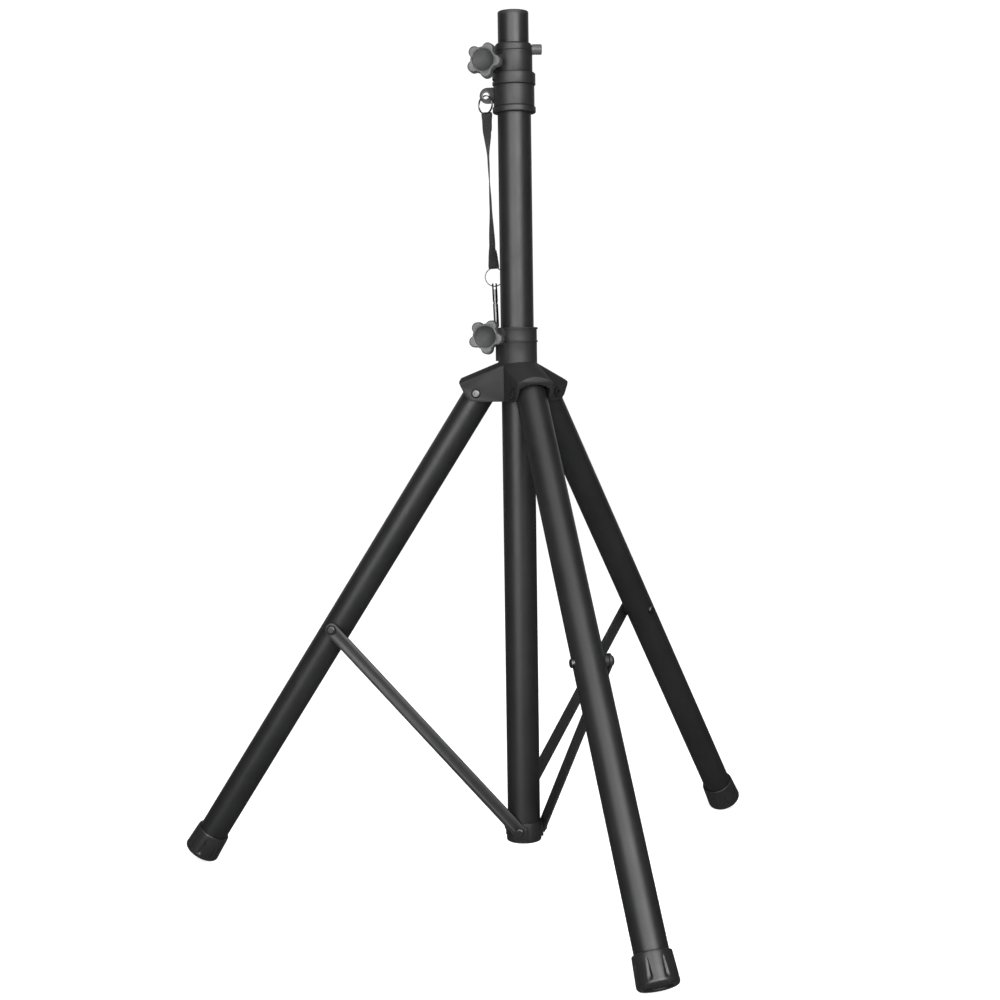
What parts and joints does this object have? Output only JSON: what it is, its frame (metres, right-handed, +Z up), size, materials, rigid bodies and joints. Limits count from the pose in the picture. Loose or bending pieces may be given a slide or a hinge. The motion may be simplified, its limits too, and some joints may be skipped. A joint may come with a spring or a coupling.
{
  "type": "folding tripod speaker stand",
  "caption": "Folding tripod stand for a loudspeaker: telescoping pole, sliding hub, tubular legs with flat braces, clamp knobs and a locking pin on a lanyard.",
  "frame": {"origin": "the column's axis at floor level, between the three feet", "axes": "+Z up along the column and pole, -Y towards the front leg"},
  "size_m": [0.74, 0.6467, 0.998],
  "materials": {
    "powder_coat": "matte black powder coat",
    "pole_coat": "satin black powder coat",
    "cast_coat": "satin black paint on a casting",
    "bar_paint": "satin black paint on flat steel",
    "knob_plastic": "moulded dark grey plastic",
    "inner_plastic": "black moulded nylon",
    "foot_rubber": "moulded black rubber",
    "black_rivet": "glossy black oxide",
    "zinc_steel": "zinc plated",
    "bright_steel": "nickel plated",
    "insert_brass": "turned",
    "webbing": "woven black webbing"
  },
  "bodies": {
    "column": {"main_tube": "powder_coat", "bottom_bracket": "cast_coat", "bracket_rivets": "black_rivet", "collar_sleeve": "cast_coat", "lug_grommet": "bright_steel", "clamp_collar": "cast_coat", "collar_liner": "inner_plastic", "pin_guide_boss": "knob_plastic", "collar_clamp_bolt": "zinc_steel", "collar_clamp_washer": "zinc_steel"},
    "pole": {"pole_tube": "pole_coat", "pole_top_plug": "inner_plastic", "pole_lower_bushing": "inner_plastic"},
    "hub": {"hub_body": "cast_coat", "hub_liner": "inner_plastic", "hub_clamp_bolt": "zinc_steel", "hub_clamp_washer": "zinc_steel", "hub_pivot_bolts": "zinc_steel", "hub_pivot_nuts": "zinc_steel"},
    "leg_1": {"leg_1_tube": "powder_coat", "leg_1_top_plug": "inner_plastic", "leg_1_foot": "foot_rubber", "leg_1_brace_bolt": "zinc_steel", "leg_1_brace_spacer": "inner_plastic"},
    "leg_2": {"leg_2_tube": "powder_coat", "leg_2_top_plug": "inner_plastic", "leg_2_foot": "foot_rubber", "leg_2_brace_bolt": "zinc_steel", "leg_2_brace_spacer": "inner_plastic"},
    "leg_3": {"leg_3_tube": "powder_coat", "leg_3_top_plug": "inner_plastic", "leg_3_foot": "foot_rubber", "leg_3_brace_bolt": "zinc_steel", "leg_3_brace_spacer": "inner_plastic"},
    "brace_1": {"brace_1_bar": "bar_paint", "brace_1_cap": "black_rivet"},
    "brace_2": {"brace_2_bar": "bar_paint", "brace_2_cap": "black_rivet"},
    "brace_3": {"brace_3_bar": "bar_paint", "brace_3_cap": "black_rivet"},
    "collar_knob_assembly": {"collar_knob": "knob_plastic", "collar_knob_insert": "insert_brass"},
    "hub_knob_assembly": {"hub_knob": "knob_plastic", "hub_knob_insert": "insert_brass"},
    "lanyard": {"lanyard_upper_ring": "bright_steel", "lanyard_strap": "webbing", "lanyard_lower_ring": "bright_steel", "locking_pin": "bright_steel"}
  },
  "joints": [
    {"name": "pole_slide", "type": "slide", "parent": "column", "child": "pole", "axis": [0, 0, 1], "range_m": [0, 0.74]},
    {"name": "hub_slide", "type": "slide", "parent": "column", "child": "hub", "axis": [0, 0, 1], "range_m": [0, 0.13777]},
    {"name": "leg_1_fold", "type": "hinge", "parent": "hub", "child": "leg_1", "pos_m": [0, -0.045, 0.568], "axis": [1, 0, 0], "range_deg": [0, 30.97]},
    {"name": "leg_2_fold", "type": "hinge", "parent": "hub", "child": "leg_2", "pos_m": [0.03897, 0.0225, 0.568], "axis": [-0.5, 0.866, 0], "range_deg": [0, 30.97]},
    {"name": "leg_3_fold", "type": "hinge", "parent": "hub", "child": "leg_3", "pos_m": [-0.03897, 0.0225, 0.568], "axis": [-0.5, -0.866, 0], "range_deg": [0, 30.97]},
    {"name": "brace_1_fold", "type": "hinge", "parent": "column", "child": "brace_1", "pos_m": [0.0227, 0, 0.059], "axis": [-1, 0, 0], "range_deg": [0, 33.84]},
    {"name": "brace_2_fold", "type": "hinge", "parent": "column", "child": "brace_2", "pos_m": [-0.01135, 0.01966, 0.059], "axis": [0.5, -0.866, 0], "range_deg": [0, 33.84]},
    {"name": "brace_3_fold", "type": "hinge", "parent": "column", "child": "brace_3", "pos_m": [-0.01135, -0.01966, 0.059], "axis": [0.5, 0.866, 0], "range_deg": [0, 33.84]},
    {"name": "collar_knob_turn", "type": "hinge", "parent": "column", "child": "collar_knob_assembly", "pos_m": [-0.03838, -0.01248, 0.94], "axis": [-0.5, -0.866, 0], "continuous": true},
    {"name": "hub_knob_turn", "type": "hinge", "parent": "hub", "child": "hub_knob_assembly", "pos_m": [-0.04038, -0.01133, 0.6325], "axis": [-0.5, -0.866, 0], "continuous": true},
    {"name": "lanyard_swing", "type": "hinge", "parent": "column", "child": "lanyard", "pos_m": [-0.02841, 0.0164, 0.9062], "axis": [0.5, 0.866, 0], "range_deg": [0, 20.65]}
  ],
  "couplings": [
    {"joint": "leg_1_fold", "follows": "hub_slide", "rad_per_m": 3.9171},
    {"joint": "leg_2_fold", "follows": "hub_slide", "rad_per_m": 3.9171},
    {"joint": "leg_3_fold", "follows": "hub_slide", "rad_per_m": 3.9171},
    {"joint": "brace_1_fold", "follows": "hub_slide", "rad_per_m": 4.2813},
    {"joint": "brace_2_fold", "follows": "hub_slide", "rad_per_m": 4.2813},
    {"joint": "brace_3_fold", "follows": "hub_slide", "rad_per_m": 4.2813},
    {"joint": "lanyard_swing", "follows": "hub_slide", "rad_per_m": 2.6097}
  ]
}
